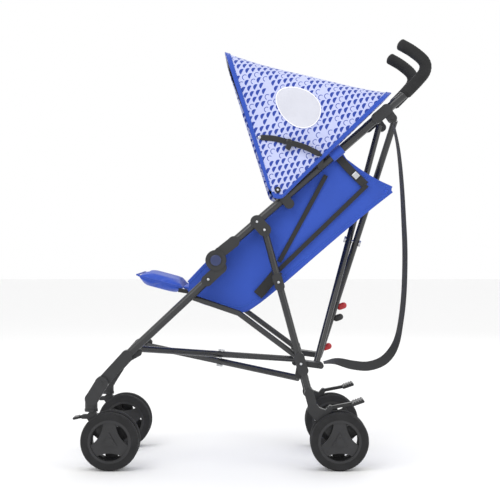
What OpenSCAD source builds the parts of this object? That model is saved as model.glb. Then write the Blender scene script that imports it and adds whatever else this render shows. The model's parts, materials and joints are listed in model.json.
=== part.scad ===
// Umbrella stroller. +X is the rear, +Z is up and the sides are mirrored about the plane Y = 0.
// The origin is on the ground under the middle of the stroller.

/* [Overall] */
// Distance between the middles of the left and right wheel pairs
track = 376; // [340:2:420]
// Sideways lean of each side frame, mm inwards for each mm of height
lean = 0.0565; // [0.03:0.0005:0.07]
// Height of a side frame's reference line, just above the wheels
lean_from = 150; // [150:1:160]

/* [Tubes] */
// Radius of the front leg and of the upper tube
tube_r = 10; // [8:0.5:11]
// Radius of the rear leg
rear_leg_r = 8.5; // [7:0.5:9]
// Radius of the crossed bars
bar_r = 8; // [6:0.5:9]
// Radius of the seat rail
rail_r = 7; // [5:0.5:8]
// Wall of every tube
tube_wall = 1.5; // [1:0.1:2.5]

/* [Wheels] */
// Outside radius of a tyre
wheel_r = 70; // [60:1:71]
// Width of a tyre
tyre_w = 22; // [16:1:26]
// Gap between the two wheels of a pair
pair_gap = 26; // [25:1:34]
// Radial depth of the tyre
tyre_depth = 18; // [12:1:22]
// Radius of an axle
axle_r = 4; // [3:0.25:5]
// Radius of the upright pin that a front wheel unit swivels on
swivel_r = 6; // [5:0.25:7]

/* [Handles] */
// Radius of the foam grip
grip_r = 15; // [13:0.5:18]

/* [Soft goods] */
// Half the width of the seat
seat_half = 138; // [110:1:138]
// Thickness of the padded seat and back
pad_t = 9; // [5:1:14]
// Half the width of the canopy
canopy_half = 186; // [184:1:196]
// Thickness of the canopy cloth
cloth_t = 2; // [1:0.5:4]

/* [Hidden] */
$fn = 48;

// clearances: between soft or sliding pieces, in a socket, and in a turning bore
gap = 0.4;
socket_gap = 0.15;
bore_gap = 0.05;
// half width of a bar's straight part, as a share of its end's radius
waist = 0.97;
// how far a ball at a bend stands out of the rods that meet there
joint_swell = 0.4;

// side view points, as [x, z]
hub_at = [-91, 501.7];
leg_top = [-82, 481];
leg_foot = [-331, 248];
upper_low = [-68, 528.9];
upper_high = [388, 923];
bracket_at = [26.2, 575.1];
rear_foot = [142.4, 149.1];
lower_at = [113.7, 253.4];
strut_low = [162, 247];
strut_high = [336.6, 845.4];
rail_front = [-150, 412];
rail_bend = [-36, 373];
rail_rear = [105, 268];
bar_front = [-278, 278];
bar_rear = [109, 225];
canopy_pivot = [58, 671];
canopy_front = [-63.7, 999];
canopy_rear = [331.8, 905];
swivel_x = -389.7;
front_axle_at = [-343.4, wheel_r];
rear_axle_at = [205.5, wheel_r];
foot_z = 2 * wheel_r + 6;
lever_at = [swivel_x - 19, foot_z - 19];
pedal_at = [184, 2 * wheel_r + 8];
clamp_at = [60, 449];
strut_front_at = [13.7, 797];
strut_mid_at = [84.4, 785];
strut_rear_at = [161.6, 754.6];
grip_path = [[366, 904], [399, 938], [417, 962], [415, 984], [388, 1010], [352, 1031]];

function unit(v) = v / norm(v);
function side_y(z) = track / 2 - (z - lean_from) * lean;
function at(p, dy = 0) = [p[0], side_y(p[1]) + dy, p[1]];
function on_upper(x) = [x, upper_low[1] + (x - upper_low[0]) * upper_slope];
upper_slope = (upper_high[1] - upper_low[1]) / (upper_high[0] - upper_low[0]);

// half the sideways spread of each pair of crossed bars, and how far their ends reach
inner_y = tube_r + bar_r + 6;
lower_y = side_y(bar_front[1]) - inner_y;
rear_y = side_y(strut_high[1]) - inner_y;
bar_offset = bar_r + 1;
end_gap = 0.5;
function reach(front, rear, half_y) =
    half_y + bar_r * cos(atan2(2 * half_y, norm(rear - front))) + end_gap;
lower_reach = reach(bar_front, bar_rear, lower_y);
rear_reach = reach(strut_high, strut_low, rear_y);

// ---------- shared shapes ----------
module between(a, b) {
    v = b - a;
    translate(a)
        rotate([0, acos(v[2] / norm(v)), atan2(v[1], v[0])])
            children();
}

module rod(a, b, r) {
    between(a, b)
        cylinder(r = r, h = norm(b - a));
}

module tube(a, b, r) {
    difference() {
        rod(a, b, r);
        rod(a - unit(b - a), b + unit(b - a), r - tube_wall);
    }
}

// the outline of a strip of thickness t that follows a list of points
function turn_at(p, i) =
    let (a = unit(p[min(i + 1, len(p) - 1)] - p[max(i - 1, 0)])) [-a[1], a[0]];
function strip(p, t) = concat(
    [for (i = [0 : len(p) - 1]) p[i] + turn_at(p, i) * t / 2],
    [for (i = [len(p) - 1 : -1 : 0]) p[i] - turn_at(p, i) * t / 2]);

// a flat outline in X and Z, made solid from y0 to y1
module plate(y0, y1) {
    translate([0, y1, 0])
        rotate([90, 0, 0])
            linear_extrude(y1 - y0)
                children();
}

// a bar with round ends; its straight part is a little narrower, so that it meets the ends at an angle
module bar2d(p, q, r) {
    v = q - p;
    half = waist * r;
    translate(p) circle(r);
    translate(q) circle(r);
    translate(p)
        rotate(atan2(v[1], v[0]))
            translate([0, -half])
                square([norm(v), 2 * half]);
}

module pin_y(p, r, y0, y1) {
    plate(y0, y1)
        translate(p) circle(r);
}

module mirror_left(side) {
    if (side < 0) mirror([0, 1, 0]) children();
    else children();
}

// ---------- side frame ----------
module front_leg() color("#26282b")
    tube(at(leg_top), at(leg_foot), tube_r);

module upper_tube() color("#26282b")
    tube(at(upper_low), at(upper_high), tube_r);

module hub() color("#303236") {
    y = side_y(hub_at[1]);
    difference() {
        union() {
            plate(y - 16, y + 17) translate(hub_at) circle(25);
            plate(y - 14, y + 14) bar2d(hub_at + [12, -18], [-112, 453], 14);
            plate(y - 14, y + 14) bar2d(hub_at + [10, 18], [-48, 546], 14);
        }
        rod(at(leg_top), at(leg_foot), tube_r + socket_gap);
        rod(at(upper_low), at(upper_high), tube_r + socket_gap);
        pin_y(hub_at, 15, y + 15, y + 18);
    }
    pin_y(hub_at, 15 - gap, y + 15, y + 18);
    pin_y([-109, 456], 3.5, y + 14, y + 16);
}

module grip() color("#1b1c1e")
    difference() {
        union() {
            for (i = [0 : len(grip_path) - 2]) {
                rod(at(grip_path[i]), at(grip_path[i + 1]), grip_r);
                translate(at(grip_path[i + 1])) sphere(grip_r + joint_swell);
            }
        }
        rod(at(upper_low), at(upper_high) + unit(at(upper_high) - at(upper_low)) * gap, tube_r + socket_gap);
    }

module rear_leg() color("#26282b")
    tube(at(bracket_at), at(rear_foot), rear_leg_r);

module leg_bracket() color("#303236") {
    y = side_y(bracket_at[1]);
    difference() {
        plate(y - 14, y + 14) bar2d(on_upper(8), bracket_at, 16);
        rod(at(upper_low), at(upper_high), tube_r + socket_gap);
        rod(at(bracket_at), at(rear_foot), rear_leg_r + socket_gap);
    }
    pin_y(on_upper(8), 4, y + 14, y + 16);
    pin_y(bracket_at, 4, y + 14, y + 16);
}

module strut_bracket() color("#303236") {
    y = side_y(strut_high[1]);
    difference() {
        union() {
            plate(y - 14, y + 14) bar2d(on_upper(300), on_upper(322), 14);
            plate(rear_reach, y + 10) bar2d(on_upper(322), strut_high, 11);
        }
        rod(at(upper_low), at(upper_high), tube_r + socket_gap);
    }
    pin_y(strut_high, 3.5, y + 10, y + 13);
}

module lower_bracket() color("#303236") {
    y = side_y(lower_at[1]);
    yc = side_y(clamp_at[1]);
    difference() {
        union() {
            plate(y - 12, y + 12) bar2d(lower_at + [-4, 14], lower_at + [5, -16], 13);
            plate(lower_reach, y - 4) bar2d(bar_rear, lower_at, 9);
            plate(rear_reach, y - 4) bar2d(lower_at, strut_low, 7);
        }
        rod(at(bracket_at), at(rear_foot), rear_leg_r + socket_gap);
    }
    pin_y(lower_at, 4, y + 12, y + 14);
    pin_y(strut_low, 5, y - 4, y + 2);
    difference() {
        plate(yc - 12, yc + 12) bar2d(clamp_at + [-3, 10], clamp_at + [3, -10], 12);
        rod(at(bracket_at), at(rear_foot), rear_leg_r + socket_gap);
    }
    pin_y(clamp_at, 4, yc + 12, yc + 14);
}

// the two lengths run past the bend, so that they close its outer side
module seat_rail() color("#26282b") {
    dy = -(tube_r + rail_r + 2);
    past = 0.17 * rail_r;
    bend = at(rail_bend, dy);
    for (end = [at(rail_front, dy), at(rail_rear, dy)])
        rod(end, bend + unit(bend - end) * past, rail_r);
    pin_y(rail_front, 3, side_y(rail_front[1]) + dy, side_y(rail_front[1]) - tube_r - gap);
    pin_y(rail_rear, 3, side_y(rail_rear[1]) + dy, side_y(rail_rear[1]) - 12 - gap);
}

// ---------- front wheel unit ----------
module front_foot() color("#2b2d30") {
    y = track / 2;
    foot = [swivel_x, foot_z + 18];
    knee = [-364, 208];
    upper_y = side_y(leg_foot[1] + 10);
    difference() {
        union() {
            plate(upper_y - 14, upper_y + 14) bar2d(leg_foot + [26, 24], knee, 14);
            plate(y - 16, y + 16) bar2d(knee, foot + [2, 6], 16);
            translate([swivel_x, y, foot_z]) cylinder(r = swivel_r + 9, h = 16);
            plate(lower_reach, upper_y - 6) bar2d(bar_front, leg_foot + [28, 16], 8);
        }
        rod(at(leg_top), at(leg_foot), tube_r + socket_gap);
        translate([swivel_x, y, foot_z - 1]) cylinder(r = swivel_r + bore_gap, h = 27);
    }
    pin_y(knee, 4, y + 16, y + 18);
}

module caster() color("#2b2d30") {
    y = track / 2;
    w = pair_gap / 2 - 3;
    difference() {
        union() {
            translate([swivel_x, y, foot_z - 6.5]) cylinder(r = 16, h = 6);
            translate([swivel_x, y, foot_z - 7]) cylinder(r = swivel_r, h = 32);
            plate(y - w, y + w) bar2d([swivel_x + 3, foot_z - 19], front_axle_at, 13);
            for (s = [-1, 1])
                plate(y + s * 8 - 2, y + s * 8 + 2) bar2d([swivel_x - 8, lever_at[1]], lever_at, 5);
            pin_y(lever_at, 2, y - 10, y + 10);
        }
        pin_y(front_axle_at, axle_r + bore_gap, y - 20, y + 20);
    }
}

module lock_lever() color("#1b1c1e") {
    y = track / 2;
    difference() {
        union() {
            pin_y(lever_at, 5, y - 5.5, y + 5.5);
            plate(y - 5.5, y + 5.5) bar2d(lever_at, lever_at + [-9, -1], 3.5);
            plate(y - 17, y + 17) bar2d(lever_at + [-11, -1], lever_at + [-20.6, -3], 3);
        }
        pin_y(lever_at, 2 + bore_gap, y - 20, y + 20);
    }
}

// ---------- wheels ----------
rim_r = wheel_r - tyre_depth;
rim_wall = 6;

module wheel_pair(p)
    for (s = [-1, 1])
        translate([p[0], track / 2 + s * (pair_gap + tyre_w) / 2, p[1]])
            rotate([s * 90, 0, 0])
                mirror([0, 0, 1])
                    children();

// axis along Z, the outer face at +Z
module tyre_shape()
    rotate_extrude($fn = 96)
        intersection() {
            translate([wheel_r - tyre_w + 2, 0]) circle(tyre_w - 2);
            translate([rim_r + bore_gap, -tyre_w / 2]) square([tyre_depth, tyre_w]);
        }

module rim_shape() {
    window_in = 0.53 * rim_r;
    window_c = 1.85 * rim_r;
    difference() {
        union() {
            rotate_extrude($fn = 96)
                translate([rim_r - rim_wall, -tyre_w / 2 + 1])
                    square([rim_wall, tyre_w - 2]);
            translate([0, 0, 1])
                cylinder(r = rim_r - rim_wall / 2, h = 5, $fn = 96);
            translate([0, 0, -tyre_w / 2 - 1]) cylinder(r = 10, h = tyre_w);
        }
        for (a = [30, 150, 270])
            intersection() {
                rotate(a) translate([window_c, 0, -1])
                    cylinder(r = window_c - window_in, h = 10, $fn = 96);
                translate([0, 0, -1]) cylinder(r = rim_r - rim_wall - 1, h = 10, $fn = 96);
            }
        translate([0, 0, -tyre_w]) cylinder(r = axle_r + bore_gap, h = tyre_w + 4);
    }
    translate([0, 0, 6])
        linear_extrude(2.5)
            polygon([for (a = [90, 210, 330]) 22 * [cos(a), sin(a)]]);
}

module tyres(p) color("#141516") wheel_pair(p) tyre_shape();

module rims(p) color("#2a2b2e") wheel_pair(p) rim_shape();

module axle(p) color("silver")
    pin_y(p, axle_r, track / 2 - pair_gap / 2 - tyre_w / 2 - 4, track / 2 + pair_gap / 2 + tyre_w / 2 + 4);

// ---------- rear wheel unit ----------
module rear_housing() color("#2b2d30") {
    y = track / 2;
    w = pair_gap / 2 - 1.5;
    difference() {
        union() {
            plate(y - w - 1, y + w) bar2d(rear_foot + [-9, 34], rear_foot + [1, -4], 11.5);
            plate(y - w, y + w) bar2d(rear_foot + [1, -4], rear_axle_at, 14);
            plate(y - w, y + w) bar2d(rear_foot + [6, -6], pedal_at + [-12, -14], 9);
            plate(y - w, y + w) bar2d(pedal_at + [-12, -14], pedal_at, 6);
        }
        rod(at(bracket_at), at(rear_foot), rear_leg_r + socket_gap);
        pin_y(rear_axle_at, axle_r + bore_gap, y - 20, y + 20);
        pin_y(pedal_at, 8, y - 7, y + 7);
    }
    pin_y(pedal_at, 2.5, y - 9, y + 9);
}

module brake_pedal() color("#1b1c1e") {
    y = track / 2;
    difference() {
        union() {
            pin_y(pedal_at, 6, y - 6.5, y + 6.5);
            plate(y - 6.5, y + 6.5) bar2d(pedal_at, pedal_at + [52, 10], 4);
            plate(y - 28, y + 28) bar2d(pedal_at + [54, 10], pedal_at + [77, 18], 3.5);
            for (i = [0 : 3])
                plate(y - 26, y + 26) translate(pedal_at + [57 + i * 6, 14.5 + i * 2.1]) circle(2.2);
        }
        pin_y(pedal_at, 2.5 + bore_gap, y - 40, y + 40);
    }
}

// ---------- canopy ----------
bow_dir = unit(canopy_front - canopy_pivot);
bow_len = norm(canopy_front - canopy_pivot);
bow_r = 4;
bow_y = canopy_half - bow_r - cloth_t - gap;
bow_corner = 55;
half_gap = 0.5;

module canopy_clamp() color("#303236") {
    y = side_y(canopy_pivot[1]);
    low = [86, 638];
    difference() {
        plate(y - 12, bow_y - bow_r - gap) bar2d(canopy_pivot + [2, -2], low, 12);
        rod(at(upper_low), at(upper_high), tube_r + socket_gap);
    }
    pin_y(canopy_pivot, 3, bow_y - bow_r - gap - 1, bow_y + bow_r);
    difference() {
        plate(y - 8, bow_y - bow_r - gap) bar2d(on_upper(strut_rear_at[0]), strut_rear_at, 7);
        rod(at(upper_low), at(upper_high), tube_r + socket_gap);
    }
    pin_y(strut_rear_at, 3, bow_y - bow_r - gap - 1, canopy_half + 9);
}

// half of the bow, drawn flat and seen along the stroller
module bow_outline() {
    translate([bow_y - bow_r, 0]) square([2 * bow_r, bow_len - bow_corner]);
    translate([half_gap, bow_len - bow_r]) square([bow_y - bow_corner - half_gap, 2 * bow_r]);
    translate([bow_y - bow_corner, bow_len - bow_corner])
        intersection() {
            difference() {
                circle(bow_corner + bow_r);
                circle(bow_corner - bow_r);
            }
            square(2 * bow_corner);
        }
}

module canopy_bow() color("#1b1c1e")
    translate([canopy_pivot[0], 0, canopy_pivot[1]])
        rotate([0, atan2(bow_dir[0], bow_dir[1]), 0])
            difference() {
                union() {
                    translate([-bow_r, 0, 0])
                        rotate([90, 0, 90])
                            linear_extrude(2 * bow_r) bow_outline();
                    translate([0, bow_y + bow_r, 0])
                        rotate([90, 0, 0]) cylinder(r = 2 * bow_r, h = 2 * bow_r);
                }
                translate([0, canopy_half, 0])
                    rotate([90, 0, 0]) cylinder(r = 3 + bore_gap, h = 3 * bow_r);
            }

module front_strut() color("#1b1c1e") {
    plate(canopy_half + 1, canopy_half + 4) bar2d(strut_front_at, strut_mid_at, 7);
    pin_y(strut_front_at, 3, bow_y + bow_r + gap, canopy_half + 2);
}

module rear_strut() color("#1b1c1e")
    difference() {
        plate(canopy_half + 4 + gap, canopy_half + 7 + gap) bar2d(strut_rear_at, strut_mid_at, 7);
        pin_y(strut_rear_at, 3 + bore_gap, canopy_half + 3, canopy_half + 8);
    }

peak = [-8, bow_r + cloth_t + 4];

module canopy() color("#c9d3ee") {
    difference() {
        union() {
            plate(canopy_half - cloth_t, canopy_half)
                polygon([canopy_front + peak, canopy_rear, canopy_pivot + [-2, -14],
                         canopy_pivot + [-14, -4]]);
            plate(half_gap, canopy_half - cloth_t)
                polygon([canopy_front + peak, canopy_rear, canopy_rear + [0, -cloth_t],
                         canopy_front + peak + [0, -cloth_t]]);
        }
        pin_y(strut_front_at, 3 + gap, canopy_half - 5, canopy_half + 1);
        pin_y(strut_rear_at, 3 + gap, canopy_half - 5, canopy_half + 1);
        pin_y(canopy_pivot, 8 + gap, canopy_half - 5, canopy_half + 1);
    }
}

// ---------- crossed bars ----------
module crossed_bar(front, rear, half_y, side, offset) {
    mid = (front + rear) / 2;
    along = unit(rear - front);
    normal = [-along[1], along[0]];
    shift = normal * offset;
    a = [front[0] + shift[0], -side * half_y, front[1] + shift[1]];
    b = [rear[0] + shift[0], side * half_y, rear[1] + shift[1]];
    color("#26282b") difference() {
        rod(a, b, bar_r);
        cross_pin(mid, normal, 4 + bore_gap, 2 * bar_offset + bar_r);
    }
}

module cross_pin(mid, normal, r, reach)
    rod([mid[0] - normal[0] * reach, 0, mid[1] - normal[1] * reach],
        [mid[0] + normal[0] * reach, 0, mid[1] + normal[1] * reach], r);

module cross_bolt(front, rear) {
    along = unit(rear - front);
    normal = [-along[1], along[0]];
    mid = (front + rear) / 2;
    head = bar_offset + bar_r + gap;
    color("silver") {
        cross_pin(mid, normal, 4, head + 1);
        for (s = [-1, 1])
            rod([mid[0] + s * normal[0] * head, 0, mid[1] + s * normal[1] * head],
                [mid[0] + s * normal[0] * (head + 4), 0, mid[1] + s * normal[1] * (head + 4)], 8);
    }
}

module lower_bar_a() crossed_bar(bar_front, bar_rear, lower_y, 1, bar_offset);
module lower_bar_b() crossed_bar(bar_front, bar_rear, lower_y, -1, -bar_offset);
module lower_pin() cross_bolt(bar_front, bar_rear);
module rear_bar_a() crossed_bar(strut_high, strut_low, rear_y, 1, bar_offset);
module rear_bar_b() crossed_bar(strut_high, strut_low, rear_y, -1, -bar_offset);
module rear_pin() cross_bolt(strut_high, strut_low);

// ---------- soft goods ----------
seat_edge = [[-150, 436], [-132, 404], [-32, 378], [6, 396], [73, 450], [238, 592]];
flap_half = 11;
seat_top = [[262, 716], [196, 745], [-60, 524], [-112, 480]];

module seat() color("#2a5cc4") {
    y = seat_half;
    for (s = [-1, 1])
        plate(s * (y - 2) - 2, s * (y - 2) + 2)
            polygon(concat(seat_edge, seat_top));
    plate(-y, y) polygon(strip(seat_edge, pad_t));
    plate(-flap_half, flap_half) polygon(strip([seat_edge[5], [328, 668]], pad_t));
}

module calf_rest() color("#2a5cc4")
    plate(-seat_half + 4, seat_half - 4)
        polygon([[-287, 461], [-262, 466], [-172, 438], [-180, 416], [-268, 438]]);

strap_points = [[337.5, 833], [352, 770], [360, 660], [366, 545], [362, 400], [352, 320],
                [330, 262], [290, 240], [240, 246], [200, 262], [167, 253.5]];
strap_z = 600;
strap_w = 25;
strap_t = 2;

module carry_strap() color("#1b1c1e")
    plate(-side_y(strap_z) - strap_w / 2, -side_y(strap_z) + strap_w / 2)
        polygon(strip(strap_points, strap_t));

// ---------- placing each node ----------
module side_part(name, side)
    mirror_left(side) {
        if (name == "front_leg") front_leg();
        if (name == "upper_tube") upper_tube();
        if (name == "hub") hub();
        if (name == "grip") grip();
        if (name == "rear_leg") rear_leg();
        if (name == "leg_bracket") leg_bracket();
        if (name == "strut_bracket") strut_bracket();
        if (name == "lower_bracket") lower_bracket();
        if (name == "seat_rail") seat_rail();
        if (name == "front_foot") front_foot();
        if (name == "caster") caster();
        if (name == "lock_lever") lock_lever();
        if (name == "front_rims") rims(front_axle_at);
        if (name == "front_tyres") tyres(front_axle_at);
        if (name == "front_axle") axle(front_axle_at);
        if (name == "rear_housing") rear_housing();
        if (name == "rear_rims") rims(rear_axle_at);
        if (name == "rear_tyres") tyres(rear_axle_at);
        if (name == "rear_axle") axle(rear_axle_at);
        if (name == "brake_pedal") brake_pedal();
        if (name == "canopy_clamp") canopy_clamp();
        if (name == "canopy_bow") canopy_bow();
        if (name == "front_strut") front_strut();
        if (name == "rear_strut") rear_strut();
        if (name == "canopy") canopy();
    }

SIDE_PARTS = ["front_leg", "upper_tube", "hub", "grip", "rear_leg", "leg_bracket",
              "strut_bracket", "lower_bracket", "seat_rail", "front_foot", "caster", "lock_lever",
              "front_rims", "front_tyres", "front_axle", "rear_housing", "rear_rims", "rear_tyres",
              "rear_axle", "brake_pedal", "canopy_clamp", "canopy_bow", "front_strut",
              "rear_strut", "canopy"];

for (part = SIDE_PARTS) {
    side_part(part, -1);
    side_part(part, 1);
}
lower_bar_a();
lower_bar_b();
lower_pin();
rear_bar_a();
rear_bar_b();
rear_pin();
seat();
calf_rest();
carry_strap();
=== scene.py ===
"""The looks of an umbrella stroller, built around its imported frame.

Lengths are in metres in the CAD frame: +X to the rear, +Y to the right, +Z up.
"""
import json
import math

import bmesh
import bpy
import numpy as np
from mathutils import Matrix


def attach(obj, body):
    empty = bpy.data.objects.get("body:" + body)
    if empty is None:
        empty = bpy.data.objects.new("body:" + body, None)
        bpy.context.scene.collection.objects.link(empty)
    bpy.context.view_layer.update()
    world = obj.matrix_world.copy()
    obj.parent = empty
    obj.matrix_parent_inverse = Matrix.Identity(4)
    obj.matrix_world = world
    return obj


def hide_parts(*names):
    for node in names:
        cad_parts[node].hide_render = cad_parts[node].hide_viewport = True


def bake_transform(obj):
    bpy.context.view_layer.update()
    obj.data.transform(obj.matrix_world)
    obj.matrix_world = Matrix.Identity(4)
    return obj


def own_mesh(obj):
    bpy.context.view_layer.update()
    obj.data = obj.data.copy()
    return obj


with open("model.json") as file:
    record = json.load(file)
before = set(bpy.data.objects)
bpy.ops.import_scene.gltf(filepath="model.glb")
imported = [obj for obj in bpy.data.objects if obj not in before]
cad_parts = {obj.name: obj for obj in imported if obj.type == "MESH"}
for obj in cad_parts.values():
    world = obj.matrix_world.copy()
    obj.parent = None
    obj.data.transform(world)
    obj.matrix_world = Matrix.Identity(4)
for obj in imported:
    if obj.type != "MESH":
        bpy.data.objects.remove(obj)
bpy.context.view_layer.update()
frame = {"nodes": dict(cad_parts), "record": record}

SIDES = {"left": -1.0, "right": 1.0}
# a side frame at its reference height, in millimetres, and its inward lean for each of height
FRAME_Y, FRAME_Z, LEAN = 188, 150, 0.0565


# ---------- camera, floor and light ----------
def set_the_stage():
    """A level camera at the stroller's left side, a pale floor and broad soft lamps."""
    camera = bpy.data.objects.new("camera", bpy.data.cameras.new("camera"))
    bpy.context.scene.collection.objects.link(camera)
    camera.location = (0.013, -3.563, 0.565)
    camera.rotation_euler = (math.radians(90), 0, 0)
    camera.data.lens = 101.2
    camera.data.sensor_width = 36
    camera.data.shift_x = -0.018
    camera.data.shift_y = -0.032
    bpy.context.scene.camera = camera
    bpy.context.scene.view_settings.view_transform = "Standard"

    floor = bpy.data.meshes.new("floor")
    reach = 14.0
    floor.from_pydata([(-reach, -reach, 0), (reach, -reach, 0), (reach, reach, 0), (-reach, reach, 0)],
                      [], [(0, 1, 2, 3)])
    ground = bpy.data.objects.new("floor", floor)
    bpy.context.scene.collection.objects.link(ground)
    floor.materials.append(plain("floor_white", (0.93, 0.93, 0.93), 0.75))

    world = bpy.data.worlds.new("studio")
    bpy.context.scene.world = world
    world.use_nodes = True
    world.node_tree.nodes["Background"].inputs["Color"].default_value = (1, 1, 1, 1)
    world.node_tree.nodes["Background"].inputs["Strength"].default_value = 1.0
    for name, place, size, power in (
            ("key", (-1.6, -2.8, 3.2), 2.4, 46), ("fill", (2.6, -2.2, 1.8), 2.2, 14),
            ("back", (0.8, 2.8, 2.6), 2.4, 18)):
        lamp = bpy.data.objects.new(name, bpy.data.lights.new(name, "AREA"))
        lamp.data.energy = power
        lamp.data.size = size
        lamp.location = place
        aim = np.array([0, 0, 0.5]) - np.array(place)
        lamp.rotation_euler = (math.atan2(math.hypot(aim[0], aim[1]), -aim[2]), 0,
                               math.atan2(-aim[0], aim[1]))
        bpy.context.scene.collection.objects.link(lamp)


# ---------- finishes ----------
class Finish:
    """A material, with short ways to add its nodes."""

    def __init__(self, name, colour, rough, **sockets):
        self.material = bpy.data.materials.new(name)
        self.material.use_nodes = True
        self.tree = self.material.node_tree
        self.shader = self.tree.nodes["Principled BSDF"]
        self.shader.inputs["Base Color"].default_value = (*colour, 1)
        self.shader.inputs["Roughness"].default_value = rough
        for socket, value in sockets.items():
            self.shader.inputs[socket.replace("_", " ")].default_value = value

    def node(self, kind, inputs=(), **values):
        """Adds one node; inputs pairs a socket with a number or with another node's output."""
        made = self.tree.nodes.new(kind)
        for key, value in values.items():
            setattr(made, key, value)
        for socket, value in dict(inputs).items():
            if isinstance(value, bpy.types.NodeSocket):
                self.tree.links.new(value, made.inputs[socket])
            else:
                made.inputs[socket].default_value = value
        return made

    def sum(self, operation, a, b=0.0):
        return self.node("ShaderNodeMath", {0: a, 1: b}, operation=operation).outputs[0]

    def link(self, output, socket):
        self.tree.links.new(output, self.shader.inputs[socket])

    def noise(self, scale, detail=3.0, coordinates="Object"):
        place = self.node("ShaderNodeTexCoord").outputs[coordinates]
        return self.node("ShaderNodeTexNoise",
                         {"Vector": place, "Scale": scale, "Detail": detail}).outputs[0]

    def spread(self, value, low, high):
        """Carries 0.3 to 0.7 of a noise onto the range low to high."""
        return self.node("ShaderNodeMapRange",
                         {"Value": value, "From Min": 0.3, "From Max": 0.7,
                          "To Min": low, "To Max": high}).outputs[0]

    def mix(self, share, one, other):
        made = self.node("ShaderNodeMix", data_type="RGBA")
        self.tree.links.new(share, made.inputs[0])
        for socket, value in ((6, one), (7, other)):
            if isinstance(value, bpy.types.NodeSocket):
                self.tree.links.new(value, made.inputs[socket])
            else:
                made.inputs[socket].default_value = (*value, 1)
        return made.outputs[2]

    def bump(self, height, strength, depth):
        made = self.node("ShaderNodeBump",
                         {"Strength": strength, "Distance": depth, "Height": height})
        self.link(made.outputs[0], "Normal")


def plain(name, colour, rough):
    """One even colour with no relief."""
    return Finish(name, colour, rough).material


def coated_metal(name, colour, rough):
    """Powder coat: a fine orange peel, with faint clouds in its colour and gloss."""
    f = Finish(name, colour, rough, Coat_Weight=0.25, Coat_Roughness=0.25)
    clouds = f.noise(9.0)
    f.link(f.mix(f.spread(clouds, 0, 1), [c * 0.8 for c in colour],
                 [c * 1.35 for c in colour]), "Base Color")
    f.link(f.spread(f.noise(60.0), rough - 0.05, rough + 0.07), "Roughness")
    f.bump(f.noise(1500.0, 2.0), 0.18, 0.0002)
    return f.material


def moulded(name, colour, rough, grain=1100.0, depth=0.35):
    """Spark-textured plastic with handling marks a little glossier than the rest."""
    f = Finish(name, colour, rough)
    f.link(f.mix(f.spread(f.noise(22.0, 4.0), 0, 1), [c * 0.78 for c in colour],
                 [c * 1.3 for c in colour]), "Base Color")
    f.link(f.spread(f.noise(35.0), rough - 0.08, rough + 0.1), "Roughness")
    f.bump(f.noise(grain, 3.0), depth, 0.00025)
    return f.material


def metal(name, colour, rough):
    """Zinc-plated steel with fine scratches all ways."""
    f = Finish(name, colour, rough, Metallic=1.0)
    f.link(f.spread(f.noise(240.0, 5.0), rough - 0.1, rough + 0.15), "Roughness")
    f.bump(f.noise(900.0, 5.0), 0.1, 0.0001)
    return f.material


def foam(name, colour):
    """Closed-cell foam rubber: small pits over a dull skin."""
    f = Finish(name, colour, 0.82)
    place = f.node("ShaderNodeTexCoord").outputs["Object"]
    cells = f.node("ShaderNodeTexVoronoi", {"Vector": place, "Scale": 620.0}).outputs[0]
    f.link(f.mix(f.spread(f.noise(40.0), 0, 1), [c * 0.7 for c in colour],
                 [c * 1.5 for c in colour]), "Base Color")
    f.bump(cells, 0.45, 0.0005)
    return f.material


def threads(f, place, pitch):
    """Plain weave: the product of two waves, one along each thread."""
    parts = f.node("ShaderNodeSeparateXYZ", {0: place})
    waves = []
    for socket in (0, 1):
        turned = f.sum("MULTIPLY", parts.outputs[socket], 2 * math.pi / pitch)
        waves.append(f.sum("SINE", turned))
    return f.sum("MULTIPLY", waves[0], waves[1])


def cloth(name, colour, pitch=0.0011, coordinates="UV", sheen=0.25):
    """Woven polyester: thread relief, slubs, and slow clouds of shade, with a painted highlight that
    lightens the raised threads.
    """
    f = Finish(name, colour, 0.74, Sheen_Weight=sheen, Sheen_Roughness=0.45)
    place = f.node("ShaderNodeTexCoord").outputs[coordinates]
    weave = threads(f, place, pitch)
    shade = f.spread(f.noise(7.0, 5.0), 0, 1)
    ground = f.mix(shade, [c * 0.82 for c in colour], [c * 1.14 for c in colour])
    # painted highlight: the colour is lighter where the weave stands up
    painted_thread_highlight = f.node("ShaderNodeMapRange", {"Value": weave, "From Min": -1, "From Max": 1,
                                          "To Min": 0, "To Max": 1}).outputs[0]
    f.link(f.mix(painted_thread_highlight, ground, [min(1.0, c * 1.12 + 0.004) for c in colour]), "Base Color")
    f.bump(f.sum("ADD", weave, f.sum("MULTIPLY", f.noise(190.0, 4.0), 1.6)), 0.3, 0.0004)
    return f.material


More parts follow.
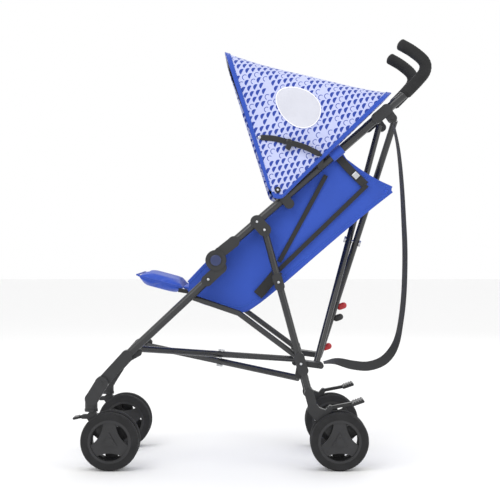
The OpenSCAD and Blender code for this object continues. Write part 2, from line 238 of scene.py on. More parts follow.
def printed_cloth(name, ground, ink):
    """Pale cloth with staggered rows of small domes, some of them only outlines.

    A dome is the part of a disc on one side of its flat edge. Each cell is across wide and along
    high, every other row is moved by half a cell, and the whole print is turned by tilt.
    """
    across, along, radius, tilt = 0.0186, 0.0116, 0.0074, math.radians(-64)
    f = Finish(name, ground, 0.76, Sheen_Weight=0.2, Sheen_Roughness=0.5)
    place = f.node("ShaderNodeTexCoord").outputs["UV"]
    turned = f.node("ShaderNodeMapping", {"Vector": place, "Rotation": (0, 0, tilt)}).outputs[0]
    parts = f.node("ShaderNodeSeparateXYZ", {0: turned})
    high = f.sum("DIVIDE", parts.outputs[1], along)
    row = f.sum("FLOOR", high)
    stagger = f.sum("MULTIPLY", f.sum("FLOORED_MODULO", row, 2.0), 0.5)
    wide = f.sum("ADD", f.sum("DIVIDE", parts.outputs[0], across), stagger)
    column = f.sum("FLOOR", wide)
    x = f.sum("MULTIPLY", f.sum("SUBTRACT", f.sum("SUBTRACT", wide, column), 0.5), across)
    z = f.sum("MULTIPLY", f.sum("SUBTRACT", f.sum("SUBTRACT", high, row), 0.20), along)
    reach = f.sum("SQRT", f.sum("ADD", f.sum("MULTIPLY", x, x), f.sum("MULTIPLY", z, z)))
    dome = f.sum("MULTIPLY", f.sum("LESS_THAN", reach, radius), f.sum("GREATER_THAN", z, 0.0))
    ring = f.sum("LESS_THAN", f.sum("ABSOLUTE", f.sum("SUBTRACT", reach, radius * 0.80)), 0.00085)
    ring = f.sum("MULTIPLY", ring, f.sum("GREATER_THAN", z, -0.0012))
    cell = f.node("ShaderNodeCombineXYZ", {0: column, 1: row}).outputs[0]
    chance = f.node("ShaderNodeTexWhiteNoise", {"Vector": cell}).outputs[0]
    hollow = f.sum("GREATER_THAN", chance, 0.78)
    solid = f.sum("MULTIPLY", dome, f.sum("SUBTRACT", 1.0, hollow))
    inked = f.sum("MAXIMUM", solid, f.sum("MULTIPLY", ring, hollow))
    inked = f.sum("MULTIPLY", inked, f.sum("GREATER_THAN", chance, 0.05))
    shade = f.spread(f.noise(6.0, 4.0), 0, 1)
    base = f.mix(shade, [c * 0.93 for c in ground], [min(1.0, c * 1.04) for c in ground])
    f.link(f.mix(inked, base, ink), "Base Color")
    weave = threads(f, place, 0.0010)
    f.bump(f.sum("ADD", weave, f.sum("MULTIPLY", f.noise(160.0, 4.0), 1.4)), 0.25, 0.0003)
    return f.material


def webbing(name, colour):
    """Strap cloth: ribs across the strap."""
    f = Finish(name, colour, 0.62, Sheen_Weight=0.15)
    parts = f.node("ShaderNodeSeparateXYZ", {0: f.node("ShaderNodeTexCoord").outputs["UV"]})
    ribs = f.sum("SINE", f.sum("MULTIPLY", parts.outputs[1], 2 * math.pi / 0.0018))
    yarn = f.sum("SINE", f.sum("MULTIPLY", parts.outputs[0], 2 * math.pi / 0.0030))
    weave = f.sum("ADD", ribs, f.sum("MULTIPLY", yarn, 0.6))
    # painted shade and highlight: the colour is darker in the troughs of the weave and lighter on its
    # ridges
    share = f.node("ShaderNodeMapRange", {"Value": weave, "From Min": -1.6, "From Max": 1.6,
                                          "To Min": 0, "To Max": 1}).outputs[0]
    f.link(f.mix(share, [c * 0.6 for c in colour], [c * 1.7 for c in colour]), "Base Color")
    f.bump(weave, 0.5, 0.0004)
    return f.material


ROYAL = (0.015, 0.066, 0.42)
CHARCOAL = (0.015, 0.0155, 0.017)
INK_BLACK = (0.009, 0.0092, 0.010)
FINISHES = {
    "black_tube": coated_metal("satin_black_paint", (0.014, 0.0145, 0.016), 0.28),
    "bracket_plastic": moulded("charcoal_nylon", CHARCOAL, 0.44),
    "rim_plastic": moulded("wheel_nylon", (0.014, 0.014, 0.0155), 0.40),
    "tyre_foam": foam("tyre_foam_rubber", (0.008, 0.008, 0.0088)),
    "steel": metal("zinc_plate", (0.55, 0.56, 0.58), 0.34),
    "foam_grip": foam("grip_foam", INK_BLACK),
    "lever_plastic": moulded("lever_nylon", INK_BLACK, 0.34, depth=0.2),
    "printed_cloth": printed_cloth("dome_print", (0.50, 0.54, 0.80), (0.012, 0.045, 0.33)),
    "blue_cloth": cloth("royal_blue_cloth", ROYAL),
    "webbing": webbing("black_webbing", INK_BLACK),
}
PAD_CLOTH = cloth("royal_blue_pad", (0.017, 0.074, 0.48), coordinates="Object")
BINDING = cloth("binding_blue", (0.013, 0.060, 0.40), pitch=0.0016)
PATCH = cloth("pale_patch", (0.60, 0.61, 0.68), sheen=0.1)
PATCH_EDGE = cloth("white_edging", (0.88, 0.88, 0.90), pitch=0.0014)
THREAD = plain("blue_thread", (0.05, 0.17, 0.66), 0.6)
RED = moulded("red_nylon", (0.40, 0.012, 0.016), 0.35)
BADGE = moulded("badge_blue", (0.022, 0.034, 0.11), 0.28, depth=0.1)


# ---------- shapes ----------
def make(name, points, faces, finish, uv=None, smooth=True, solid=False):
    """Puts an object with these vertices and faces at the origin; uv is one pair for each vertex."""
    mesh = bpy.data.meshes.new(name)
    mesh.from_pydata(np.asarray(points).reshape(-1, 3).tolist(), [], [list(f) for f in faces])
    if uv is not None:
        layer = mesh.uv_layers.new(name="UVMap")
        corner = np.zeros(len(mesh.loops), np.int32)
        mesh.loops.foreach_get("vertex_index", corner)
        layer.data.foreach_set("uv", np.asarray(uv, np.float32).reshape(-1, 2)[corner].ravel())
    if solid:
        form = bmesh.new()
        form.from_mesh(mesh)
        bmesh.ops.recalc_face_normals(form, faces=form.faces)
        form.to_mesh(mesh)
        form.free()
    mesh.polygons.foreach_set("use_smooth", np.full(len(mesh.polygons), smooth))
    mesh.materials.append(finish)
    piece = bpy.data.objects.new(name, mesh)
    bpy.context.scene.collection.objects.link(piece)
    return piece


def grid_faces(rows, columns, round_rows=False, round_columns=False):
    """The quads of a grid, joined end to end where it is round."""
    i = np.arange(rows if round_rows else rows - 1)[:, None]
    j = np.arange(columns if round_columns else columns - 1)[None, :]
    i1, j1 = (i + 1) % rows, (j + 1) % columns
    quads = [i * columns + j, i1 * columns + j, i1 * columns + j1, i * columns + j1]
    return np.stack([np.broadcast_to(q, (len(i), j.shape[1])) for q in quads], -1).reshape(-1, 4)


def sheet(name, points, finish, uv, thickness):
    """A cloth through a grid of points, given its thickness on both sides of the grid."""
    rows, columns = points.shape[:2]
    piece = make(name, points, grid_faces(rows, columns).tolist(), finish, uv)
    wall = piece.modifiers.new("thickness", "SOLIDIFY")
    wall.thickness = thickness
    wall.offset = 0
    return piece


def area_of(point):
    """The area of a grid of points, with a parallelogram for each cell."""
    cell = np.cross(point[1:, :-1] - point[:-1, :-1], point[:-1, 1:] - point[:-1, :-1])
    return float(np.linalg.norm(cell, axis=-1).sum())


def smooth_path(points, count):
    """A Catmull-Rom curve through the points, sampled evenly in its parameter."""
    p = np.asarray(points, float)
    p = np.vstack([2 * p[0] - p[1], p, 2 * p[-1] - p[-2]])
    t = np.linspace(0, len(p) - 3 - 1e-9, count)
    k, f = t.astype(int), (t % 1)[:, None]
    a, b, c, d = p[k], p[k + 1], p[k + 2], p[k + 3]
    return 0.5 * (2 * b + (c - a) * f + (2 * a - 5 * b + 4 * c - d) * f ** 2
                  + (3 * b - a - 3 * c + d) * f ** 3)


def straight_path(points, count):
    """Points spread evenly by length along straight runs."""
    p = np.asarray(points, float)
    run = np.r_[0, np.cumsum(np.linalg.norm(np.diff(p, axis=0), axis=1))]
    t = np.linspace(0, run[-1], count)
    return np.stack([np.interp(t, run, p[:, k]) for k in range(p.shape[1])], 1)


def superellipse(half_a, half_b, power=4.0, count=28):
    """A rounded rectangle: |a/half_a|^power + |b/half_b|^power = 1."""
    t = np.linspace(0, 2 * math.pi, count, endpoint=False)
    c, s = np.cos(t), np.sin(t)
    return np.stack([half_a * np.sign(c) * np.abs(c) ** (2 / power),
                     half_b * np.sign(s) * np.abs(s) ** (2 / power)], 1)


def sweep(name, path, outline, finish, sideways=(0, 1, 0), twist=0.0, size=1.0):
    """Carries a closed outline along a path, with both ends closed.

    The outline's second axis is the sideways direction, and its first is square to that and the
    path. twist is the turn about the path at each point, and size the outline's scale there.
    """
    along = np.gradient(path, axis=0)
    along /= np.linalg.norm(along, axis=1)[:, None]
    across = np.cross(along, np.broadcast_to(np.asarray(sideways, float), along.shape))
    across /= np.linalg.norm(across, axis=1)[:, None]
    beside = np.cross(across, along)
    turn = np.broadcast_to(np.asarray(twist, float), len(path))[:, None]
    first = np.cos(turn) * across + np.sin(turn) * beside
    second = -np.sin(turn) * across + np.cos(turn) * beside
    scale = np.broadcast_to(np.asarray(size, float), len(path))[:, None, None]
    ring = scale * (outline[None, :, :1] * first[:, None] + outline[None, :, 1:] * second[:, None])
    points = path[:, None] + ring
    rows, columns = points.shape[:2]
    faces = grid_faces(rows, columns, round_columns=True).tolist()
    faces += [list(range(columns)), [(rows - 1) * columns + j for j in range(columns)]]
    run = np.r_[0, np.cumsum(np.linalg.norm(np.diff(path, axis=0), axis=1))]
    uv = np.stack(np.broadcast_arrays(outline[None, :, 1], run[:, None]), -1)
    return make(name, points, faces, finish, uv, solid=True)


def at_side(points, y):
    """[x, z] points in millimetres made points in metres at this y."""
    p = np.asarray(points, float) / 1000
    return np.stack([p[:, 0], np.broadcast_to(np.asarray(y, float), len(p)), p[:, 1]], 1)


def frame_y(z_mm, side):
    """The middle of a side frame's tubes, which lean inwards with height."""
    return side * (FRAME_Y - (np.asarray(z_mm, float) - FRAME_Z) * LEAN) / 1000


def stitches(name, path, out, length=0.0032, space=0.0052, width=0.00045):
    """A row of short closed dashes along a path, standing off it by the direction out."""
    run = np.r_[0, np.cumsum(np.linalg.norm(np.diff(path, axis=0), axis=1))]
    starts = np.arange(space / 2, run[-1] - space, space)
    lift = np.broadcast_to(np.asarray(out, float), path.shape)

    def point(t, table):
        return np.stack([np.interp(t, run, table[:, k]) for k in range(3)], 1)
    a, b, up = point(starts, path), point(starts + length, path), point(starts, lift)
    wide = np.cross(b - a, up)
    wide *= width / np.linalg.norm(wide, axis=1)[:, None]
    up = up / np.linalg.norm(up, axis=1)[:, None] * width
    ring = [(-1, -1), (1, -1), (1, 1), (-1, 1)]
    corners = [end + i * wide + j * up for end in (a, b) for i, j in ring]
    points = np.stack(corners, 1)
    box = np.array([(0, 1, 2, 3), (7, 6, 5, 4), (0, 4, 5, 1), (1, 5, 6, 2), (2, 6, 7, 3),
                    (3, 7, 4, 0)])
    faces = (box[None] + 8 * np.arange(len(starts))[:, None, None]).reshape(-1, 4)
    return make(name, points, faces.tolist(), THREAD, solid=True)


def dome(name, place, axis_y, radius, height, finish, rings=7, spokes=28):
    """A round stud: a shallow dome with a flat back, its top towards +Y or -Y."""
    t = np.linspace(0, 1, rings)[1:]
    a = np.linspace(0, 2 * math.pi, spokes, endpoint=False)
    r = radius * np.sin(t * math.pi / 2)[:, None]
    h = height * np.cos(t * math.pi / 2)[:, None]
    x, z = r * np.cos(a), r * np.sin(a)
    y = axis_y * np.broadcast_to(h, x.shape)
    points = np.stack([x, y, z], -1).reshape(-1, 3)
    points = np.vstack([points, [[0, axis_y * height, 0]]]) + np.asarray(place)
    faces = grid_faces(len(t), spokes, round_columns=True).tolist()
    faces += [[len(points) - 1, j, (j + 1) % spokes] for j in range(spokes)]
    faces.append([(len(t) - 1) * spokes + j for j in range(spokes)])
    return make(name, points, faces, finish, solid=True)


def inflate(piece, voxel, cap, pressure=4.0, last=20):
    """Fills a closed form like a cushion: even voxels, cloth pressure with no gravity, and no
    point further than cap from where it began. One subdivision follows."""
    even = piece.modifiers.new("even", "REMESH")
    even.mode = "VOXEL"
    even.voxel_size = voxel
    graph = bpy.context.evaluated_depsgraph_get()
    mesh = bpy.data.meshes.new_from_object(piece.evaluated_get(graph))
    piece.modifiers.clear()
    piece.data = mesh
    before = coordinates(mesh)
    fabric = piece.modifiers.new("fabric", "CLOTH")
    fabric.settings.use_pressure = True
    fabric.settings.uniform_pressure_force = pressure
    fabric.settings.effector_weights.gravity = 0
    fabric.settings.quality = 4
    fabric.point_cache.frame_start, fabric.point_cache.frame_end = 1, last
    scene = bpy.context.scene
    for number in range(1, last + 1):
        scene.frame_set(number)
    graph = bpy.context.evaluated_depsgraph_get()
    after = coordinates(piece.evaluated_get(graph).data)
    piece.modifiers.clear()
    scene.frame_set(1)
    move = after - before
    far = np.linalg.norm(move, axis=1)[:, None]
    move *= np.minimum(1, cap / np.maximum(far, 1e-9))
    mesh.vertices.foreach_set("co", (before + move).astype(np.float32).ravel())
    mesh.polygons.foreach_set("use_smooth", np.full(len(mesh.polygons), True))
    mesh.update()
    finer = piece.modifiers.new("finer", "SUBSURF")
    finer.levels = finer.render_levels = 1
    return piece


def coordinates(mesh):
    """The vertices of a mesh as an array of points."""
    co = np.zeros(len(mesh.vertices) * 3, np.float32)
    mesh.vertices.foreach_get("co", co)
    return co.reshape(-1, 3).astype(float)


def sewn_in(piece, lines, depth, spread):
    """Draws a padded piece in along sewn lines: each is a point and a direction square to it, and
    a vertex near its plane moves towards the piece's middle surface."""
    mesh = piece.data
    co = coordinates(mesh)
    for point, square, middle in lines:
        away = (co - point) @ square
        pull = depth * np.exp(-(away / spread) ** 2)
        rise = (co - point) @ middle
        co -= np.sign(rise)[:, None] * np.minimum(np.abs(rise) * 0.7, pull)[:, None] * middle
    mesh.vertices.foreach_set("co", co.astype(np.float32).ravel())
    mesh.update()


def folds_with_frame(piece, *replaced, slot=None):
    """Rides on the middle of the frame."""
    if replaced:
        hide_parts(*replaced)
    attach(piece, "centre")
    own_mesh(piece)
    return piece


# ---------- canopy ----------
PIVOT = np.array([0.058, 0.671])
PEAK = np.array([-0.0705, 1.0065])
TAIL = np.array([0.336, 0.909])
SHOULDER = 0.050
CORNER = 0.021


def canopy_edges(u):
    """The lowest and the highest line of the side, as [x, z], from front (u = 0) to rear (u = 1)."""
    turn = np.radians(197 + 118 * u)
    low = PIVOT + CORNER * np.stack([np.cos(turn), np.sin(turn)], -1)
    high = PEAK + (TAIL - PEAK) * u[..., None]
    high = high - np.stack([0 * u, 0.010 * np.sin(math.pi * u) + 0.0018 * np.sin(9 * u)], -1)
    return low, high


def canopy_half_width(u):
    """The cloth's half width: outside the bow in front, and a little narrower at the tail."""
    return 0.1856 - 0.010 * np.clip((u - 0.35) / 0.65, 0, 1) ** 1.5


def canopy_point(u, v, side):
    """A point of the cloth and its print coordinates.

    v runs up the side from 0, round a shoulder, and in to the middle of the top at 1. The side
    follows the line from low to high at the same u, and hollows a little between its edges.
    """
    low, high = canopy_edges(u)
    span = high - low
    length = np.linalg.norm(span, axis=-1)
    wide = canopy_half_width(u)
    bend = np.minimum(SHOULDER, length * 0.45)
    straight, arc = length - bend, bend * math.pi / 2
    s = v * (straight + arc + wide - bend)
    a = np.clip((s - straight) / bend, 0, math.pi / 2)
    rise = np.minimum(s, straight) + bend * np.sin(a)
    over = np.maximum(s - straight - arc, 0)
    y = wide - bend * (1 - np.cos(a)) - over
    behind = np.clip((u - 0.30) / 0.70, 0, 1)
    up = np.clip((s / length - 0.30) / 0.70, 0, 1)
    hollow = np.sin(math.pi * behind) ** 2 * np.sin(math.pi * up)
    y = y - 0.0040 * hollow + 0.0010 * np.sin(31 * u + 5 * v) * hollow
    flat = low + span * (rise / length)[..., None]
    top = np.sin(math.pi * u) * np.clip(over / wide, 0, 1)
    z = flat[..., 1] - 0.007 * top
    point = np.stack([flat[..., 0], side * np.maximum(y, 0.0006), z], -1)
    print_at = np.stack([flat[..., 0], flat[..., 1] + (s - rise)], -1)
    return point, print_at


def canopy_out(u, v, side, step=1e-3):
    """The cloth's outward direction, from two small steps on it."""
    du = (canopy_point(np.clip(u + step, 0, 1), v, side)[0]
          - canopy_point(np.clip(u - step, 0, 1), v, side)[0])
    dv = (canopy_point(u, np.clip(v + step, 0, 1), side)[0]
          - canopy_point(u, np.clip(v - step, 0, 1), side)[0])
    out = np.cross(du, dv)
    out /= np.maximum(np.linalg.norm(out, axis=-1), 1e-12)[..., None]
    sign = np.sign(out[..., 1] * side + out[..., 2] * 0.5)
    return out * sign[..., None]


def blend_canopy(piece):
    """Bakes its placement into its vertices, so it stays where it was built."""
    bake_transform(piece)
    return piece


def edge_strip(name, label, side, u0, v0, u1, v1):
    """A binding between two lines on the canopy, standing just off the cloth."""
    across = np.linspace(0, 1, 5)[:, None]
    u, v = u0 + (u1 - u0) * across, v0 + (v1 - v0) * across
    point, print_at = canopy_point(u, v, side)
    point = point + 0.0014 * canopy_out(u, v, side)
    piece = sheet(f"{name}_{label}", point, BINDING, print_at, 0.0016)
    return blend_canopy(piece)


def make_canopy(name, side):
    """One half of the hood, with its bindings, seams, press stud and patch."""
    u, v = np.meshgrid(np.linspace(0, 1, 72), np.linspace(0, 1, 96), indexing="ij")
    point, print_at = canopy_point(u, v, side)
    cover = sheet(name + "_hood", point, FINISHES["printed_cloth"], print_at, 0.0012)
    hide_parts(name + "_canopy")
    area_of(point)
    blend_canopy(cover)

    line = np.linspace(0, 1, 110)
    front = canopy_point(0 * line, line, side)[0]
    rear = canopy_point(0 * line + 1, line, side)[0]
    width = np.linalg.norm(rear - front, axis=1)
    band = np.minimum(0.013 / width, 0.34)
    edge_strip(name, "front_binding", side, 0 * line, line, band, line)
    edge_strip(name, "rear_binding", side, 1 - band, line, 0 * line + 1, line)
    edge_strip(name, "corner_binding", side, line, 0 * line, line, 0 * line + 0.024)
    for label, near in (("front_seam", band * 0.86), ("rear_seam", 1 - band * 0.86)):
        path = canopy_point(near, line, side)[0]
        out = canopy_out(near, line, side)
        row = stitches(f"{name}_{label}", path + 0.0025 * out, out)
        blend_canopy(row)

    stud = dome(name + "_press_stud", (PIVOT[0], side * 0.1868, PIVOT[1]), side, 0.0075, 0.0045,
                FINISHES["lever_plastic"])
    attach(stud, name + "_canopy")
    eye = dome(name + "_stud_eye", (PIVOT[0], side * 0.1908, PIVOT[1]), side, 0.0028, 0.0012,
               FINISHES["steel"])
    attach(eye, name + "_canopy")
    make_patch(name, side)


def find_on_side(x, z):
    """Where on the canopy a side-view point lies: u and the share of the way up, by Newton steps."""
    u, h = np.full(x.shape, 0.45), np.full(x.shape, 0.6)

    def place(u, h):
        low, high = canopy_edges(u)
        return low + (high - low) * h[..., None]
    step = 1e-4
    for _ in range(12):
        p = place(u, h)
        pu, ph = (place(u + step, h) - p) / step, (place(u, h + step) - p) / step
        ex, ez = x - p[..., 0], z - p[..., 1]
        det = pu[..., 0] * ph[..., 1] - pu[..., 1] * ph[..., 0]
        u = u + (ex * ph[..., 1] - ez * ph[..., 0]) / det
        h = h + (pu[..., 0] * ez - pu[..., 1] * ex) / det
    low, high = canopy_edges(u)
    length = np.linalg.norm(high - low, axis=-1)
    wide = canopy_half_width(u)
    bend = np.minimum(SHOULDER, length * 0.45)
    past = np.clip((h * length - (length - bend)) / bend, 0, 1)
    s = np.minimum(h * length, length - bend) + bend * np.arcsin(past)
    v = s / (length - bend + bend * math.pi / 2 + wide - bend)
    return u, v


def make_patch(name, side):
    """A plain pale rounded patch on the side of the hood, with a thin white edging."""
    middle, half, tilt = np.array([0.106, 0.872]), np.array([0.058, 0.043]), math.radians(-35)
    share = np.linspace(0.02, 1, 16)[:, None]
    t = np.linspace(0, 2 * math.pi, 60)[None, :]
    a, b = share * half[0] * np.cos(t), share * half[1] * np.sin(t) * (1 + 0.16 * np.cos(t))
    x = middle[0] + a * math.cos(tilt) - b * math.sin(tilt)
    z = middle[1] + a * math.sin(tilt) + b * math.cos(tilt)
    u, v = find_on_side(x, z)
    point, print_at = canopy_point(u, v, side)
    out = canopy_out(u, v, side)
    rows, columns = point.shape[:2]
    pad = (point + 0.0016 * out)[:, :-1]
    faces = grid_faces(rows, columns - 1, round_columns=True).tolist()
    faces.append(list(range(columns - 1)))
    piece = make(name + "_patch", pad, faces, PATCH, print_at[:, :-1])
    wall = piece.modifiers.new("thickness", "SOLIDIFY")
    wall.thickness = 0.0012
    wall.offset = 0
    blend_canopy(piece)
    outer = (point + 0.0020 * out)[-1, :-1]
    size = superellipse(0.0013, 0.0013, 2.0, 8)
    tangent = np.roll(outer, -1, 0) - np.roll(outer, 1, 0)
    tangent /= np.linalg.norm(tangent, axis=1)[:, None]
    up = out[-1, :-1]
    beside = np.cross(tangent, up)
    loop = outer[:, None] + size[None, :, :1] * up[:, None] + size[None, :, 1:] * beside[:, None]
    faces = grid_faces(len(outer), len(size), round_rows=True, round_columns=True).tolist()
    edging = make(name + "_patch_edging", loop, faces, PATCH_EDGE, None, solid=True)
    blend_canopy(edging)


def make_struts(name, side):
    """The two curved levers that hold the hood open, with a thumb catch where they meet."""
    bow = smooth_path(at_side([[13.7, 797], [50, 794], [84.4, 785]], side * 0.1885), 24)
    tail = smooth_path(at_side([[161.6, 754.6], [124, 773], [84.4, 785]], side * 0.1919), 24)
    for part, path, body in (("front_strut", bow, "_front_strut"), ("rear_strut", tail, "_rear_strut")):
        t = np.linspace(0, 1, len(path))
        size = np.minimum(1, 0.25 + 3.0 * np.sqrt(np.minimum(t, 1 - t) / 1.2))
        lever = sweep(f"{name}_{part}_lever", path, superellipse(0.0068, 0.0016, 3.0),
                      FINISHES["lever_plastic"], size=size)
        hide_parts(f"{name}_{part}")
        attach(lever, name + body)
    pin = dome(name + "_strut_pin", (0.0137, side * 0.1903, 0.797), side, 0.0042, 0.0022,
               FINISHES["steel"])
    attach(pin, name + "_front_strut")
    knuckle = dome(name + "_strut_knuckle", (0.0844, side * 0.1936, 0.785), side, 0.0085, 0.003,
                   FINISHES["lever_plastic"])
    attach(knuckle, name + "_rear_strut")
    tab = sweep(name + "_thumb_catch", smooth_path(at_side([[86, 781], [84, 774], [80, 768]],
                side * 0.1925), 10), superellipse(0.0065, 0.0024, 3.0), FINISHES["lever_plastic"])
    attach(tab, name + "_rear_strut")


# ---------- seat ----------
SEAT_LOW = [[-158, 432], [-136, 405], [-84, 388], [-32, 378], [6, 396], [73, 450], [155, 521],
            [238, 592], [290, 634], [338, 671]]
SEAT_HIGH = [[-158, 446], [-112, 494], [-60, 541], [20, 610], [110, 688], [196, 762], [226, 742],
             [262, 716], [300, 694], [338, 677]]


def make_seat_sides():
    """A stretched panel on each side: straight between its lower and upper edge, and bellied
    outwards in the middle, with soft creases that run up it."""
    for name, side in SIDES.items():
        u, h = np.meshgrid(np.linspace(0, 1, 110), np.linspace(0, 1, 44), indexing="ij")
        low = smooth_path(SEAT_LOW, 110)[:, None] / 1000
        high = smooth_path(SEAT_HIGH, 110)[:, None] / 1000
        flat = low + (high - low) * h[..., None]
        mid = np.sin(math.pi * h) * np.sin(math.pi * u) ** 0.7
        crease = np.sin(38 * u + 3 * h) * 0.0007 + np.sin(17 * u - 4 * h + 1) * 0.0012
        y = 0.1340 + 0.0050 * mid + crease * mid
        narrow = np.clip((u - 0.72) / 0.28, 0, 1)
        y = y - 0.020 * narrow ** 2
        point = np.stack([flat[..., 0], side * y, flat[..., 1]], -1)
        panel = sheet(name + "_seat_side", point, FINISHES["blue_cloth"],
                      np.stack([flat[..., 0], flat[..., 1]], -1), 0.0016)
        area_of(point)
        folds_with_frame(panel)
        for label, edge, row in (("low", 0, 2), ("high", -1, -3)):
            hem = sweep(f"{name}_{label}_hem", point[:, edge],
                        superellipse(0.0052, 0.0017, 3.0, 16), BINDING)
            folds_with_frame(hem, slot="blue_cloth")
            path = point[:, row] + np.array([0, side * 0.0014, 0])
            folds_with_frame(stitches(f"{name}_{label}_stitches", path, (0, side, 0)))


def make_seat_pad():
    """The sling's padded base and back: one long pad along the sides' lower edges, drawn in
    where it is sewn across."""
    line = [[-176, 441], [-150, 430], [-132, 412], [-84, 396], [-32, 389], [6, 407], [73, 460],
            [155, 531], [238, 602], [290, 645], [334, 675]]
    path = smooth_path(at_side(line, 0.0), 90)
    pad = sweep("seat_rear_pad", path, superellipse(0.0042, 0.1290, 5.0, 60), PAD_CLOTH)
    inflate(pad, 0.0045, 0.006)
    along = np.gradient(path, axis=0)
    along /= np.linalg.norm(along, axis=1)[:, None]
    lines = [(path[k], along[k], np.cross(along[k], (0, 1, 0))) for k in (18, 32, 46, 60, 74)]
    sewn_in(pad, lines, 0.0022, 0.0035)
    folds_with_frame(pad, "seat")


def make_calf_rest():
    """A tapered pad in front of the seat, with piping round its edge."""
    line = [[-283, 462.5], [-262, 456], [-230, 447.5], [-200, 439.5], [-174, 433]]
    path = smooth_path(at_side(line, 0.0), 40)
    t = np.linspace(0, 1, len(path))
    full = np.clip(0.35 + 2.2 * t, 0, 1) - 0.25 * np.clip((t - 0.75) / 0.25, 0, 1)
    pad = sweep("calf_pad", path, superellipse(0.0105, 0.1290, 5.0, 60), PAD_CLOTH)
    co = coordinates(pad.data).reshape(len(path), 60, 3)
    middle = path[:, None]
    off = co - middle
    off[..., [0, 2]] *= full[:, None, None]
    pad.data.vertices.foreach_set("co", (middle + off).astype(np.float32).ravel())
    inflate(pad, 0.0045, 0.007)
    folds_with_frame(pad, "calf_rest")
    front = np.array([[-0.2855, y, 0.4655] for y in np.linspace(-0.128, 0.128, 30)])
    round_bead = superellipse(0.0022, 0.0022, 2.0, 12)
    piping = sweep("calf_front_piping", front, round_bead, BINDING, sideways=(0, 0, 1))
    folds_with_frame(piping, slot="blue_cloth")
    for name, side in SIDES.items():
        edge = path + np.array([0, side * 0.1325, 0.002])
        bead = sweep(name + "_calf_piping", edge, round_bead, BINDING)
        folds_with_frame(bead, slot="blue_cloth")
        tab = sweep(name + "_calf_tab", smooth_path(at_side([[-184, 428], [-166, 425], [-148, 422]],
                    side * 0.1285), 12), superellipse(0.0050, 0.0030, 3.0), FINISHES["webbing"])
        folds_with_frame(tab, slot="webbing")


def make_seat_straps():
    """Black webbing on each side: two stays down to the leg clamp, and one across the back's top
    with its buckle."""
    for name, side in SIDES.items():
        stays = {"front_stay": [[176, 708], [118, 600], [62, 497]],
                 "rear_stay": [[276, 684], [168, 580], [60, 476]],
                 "top_stay": [[206, 752], [238, 717], [272, 684]]}
        for label, points in stays.items():
            y, half = (0.1425, 0.0100) if label == "top_stay" else (0.1442, 0.0055)
            path = smooth_path(at_side(points, side * y), 40)
            strap = sweep(f"{name}_{label}", path, superellipse(half, 0.0010, 5.0, 20),
                          FINISHES["webbing"])
            folds_with_frame(strap, slot="webbing")
        gusset = smooth_path(at_side([[60, 476], [36, 446], [10, 416]], side * 0.1425), 20)
        corner = sweep(name + "_stay_gusset", gusset, superellipse(0.0125, 0.0010, 4.0, 20),
                       FINISHES["webbing"])
        folds_with_frame(corner, slot="webbing")
        buckle = sweep(name + "_top_buckle", straight_path(at_side([[243, 713], [254, 702]],
                       side * 0.1450), 8), superellipse(0.0072, 0.0016, 6.0, 20), FINISHES["steel"])
        folds_with_frame(buckle, slot="steel")
        tube = straight_path(at_side([[188, 750], [214, 772]], frame_y(760, side)), 14)
        loop = sweep(name + "_tube_loop", tube, superellipse(0.0125, 0.0125, 2.0, 32),
                     FINISHES["blue_cloth"])
        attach(loop, name + "_side")


# ---------- straps, grips and small parts ----------
def make_carry_strap():
    """A long flat strap down the rear of the left side that turns once on its way."""
    line = [[337.5, 833], [350, 770], [358, 690], [363, 600], [366, 520], [364, 430], [357, 360],
            [344, 300], [318, 262], [280, 246], [240, 248], [200, 257], [169, 254]]
    path = smooth_path(at_side(line, frame_y(600, -1)), 150)
    t = np.linspace(0, 1, len(path))
    twist = np.interp(t, [0, 0.1, 0.3, 0.55, 0.66, 0.86, 0.95, 1],
                      np.radians([6, 14, 24, 26, 68, 62, 20, 6]))
    twist = np.convolve(np.pad(twist, 6, mode="edge"), np.ones(13) / 13, mode="valid")
    strap = sweep("carry_webbing", path, superellipse(0.0010, 0.0120, 5.0, 20),
                  FINISHES["webbing"], twist=twist)
    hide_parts("carry_strap")
    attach(strap, "left_side")


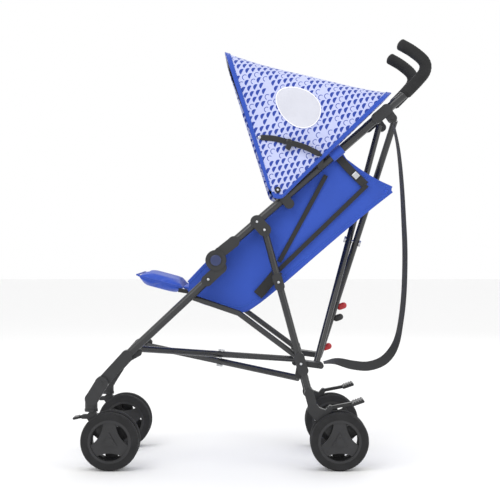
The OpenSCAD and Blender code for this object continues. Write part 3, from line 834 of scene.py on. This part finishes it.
def make_grips():
    """A bent foam grip on each handle: a round tube on a smooth path, with a waist, fine ribs and
    a rounded end."""
    line = np.array([[366, 904], [399, 938], [416.5, 962], [414.5, 985], [388, 1009], [352, 1030]])
    for name, side in SIDES.items():
        path = smooth_path(at_side(line, frame_y(line[:, 1], side)), 170)
        run = np.r_[0, np.cumsum(np.linalg.norm(np.diff(path, axis=0), axis=1))]
        left = run[-1] - run
        size = 1 + 0.014 * np.sin(run * 2 * math.pi / 0.006) * (left > 0.02)
        size = size * np.sqrt(np.clip(1 - (1 - np.clip(left / 0.008, 0.02, 1)) ** 2, 0.05, 1))
        size = size * np.clip(0.80 + run / 0.03, 0, 1)
        grip = sweep(name + "_foam_grip", path, superellipse(0.0148, 0.0148, 2.0, 40),
                     FINISHES["foam_grip"], size=size)
        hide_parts(name + "_grip")
        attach(grip, name + "_side")


def make_small_parts():
    """Badge discs, rivets, and the latch and red catches on the rear bars."""
    for name, side in SIDES.items():
        outer = frame_y(501.7, side) + side * 0.0182
        badge = dome(name + "_badge", (-0.091, outer, 0.5017), side, 0.0132, 0.0016, BADGE)
        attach(badge, name + "_side")
        for label, x, z, off in (
                ("low_arm_rivet", -109, 456, 0.0164), ("leg_rivet", 26.2, 575.1, 0.0164),
                ("tube_rivet", 8, 594.6, 0.0164), ("clamp_rivet", 60, 449, 0.0144),
                ("foot_rivet", 113.7, 253.4, 0.0144)):
            y = frame_y(z, side) + side * off
            rivet = dome(f"{name}_{label}", (x / 1000, y, z / 1000), side, 0.0034, 0.0016,
                         FINISHES["steel"], rings=5, spokes=18)
            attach(rivet, name + "_side")
    for label, body, x, y, z, finish in (
            ("high_catch", "rear_bar_a", 0.2235, 0.080, 0.377, RED),
            ("low_catch", "rear_bar_a", 0.1870, 0.126, 0.268, RED),
            ("bar_latch", "rear_bar_a", 0.2150, 0.088, 0.347, FINISHES["lever_plastic"])):
        path = np.array([[x + d, y, z + d * 0.35] for d in np.linspace(-0.009, 0.016, 12)])
        size = np.sqrt(np.clip(1 - (np.linspace(-1, 1, 12)) ** 4, 0.12, 1))
        catch = sweep("rear_" + label, path, superellipse(0.0085, 0.0095, 3.0), finish, size=size)
        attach(catch, body)


def finish_cad_parts():
    """Each CAD part takes the finish of its slot."""
    slots = {p["node"]: p["material_slot"] for p in frame["record"]["subparts"]}
    for node, part in frame["nodes"].items():
        part.data.materials.clear()
        part.data.materials.append(FINISHES[slots[node]])


set_the_stage()
finish_cad_parts()
for side_name, side_sign in SIDES.items():
    make_canopy(side_name, side_sign)
    make_struts(side_name, side_sign)
make_seat_sides()
make_seat_pad()
make_calf_rest()
make_seat_straps()
make_carry_strap()
make_grips()
make_small_parts()
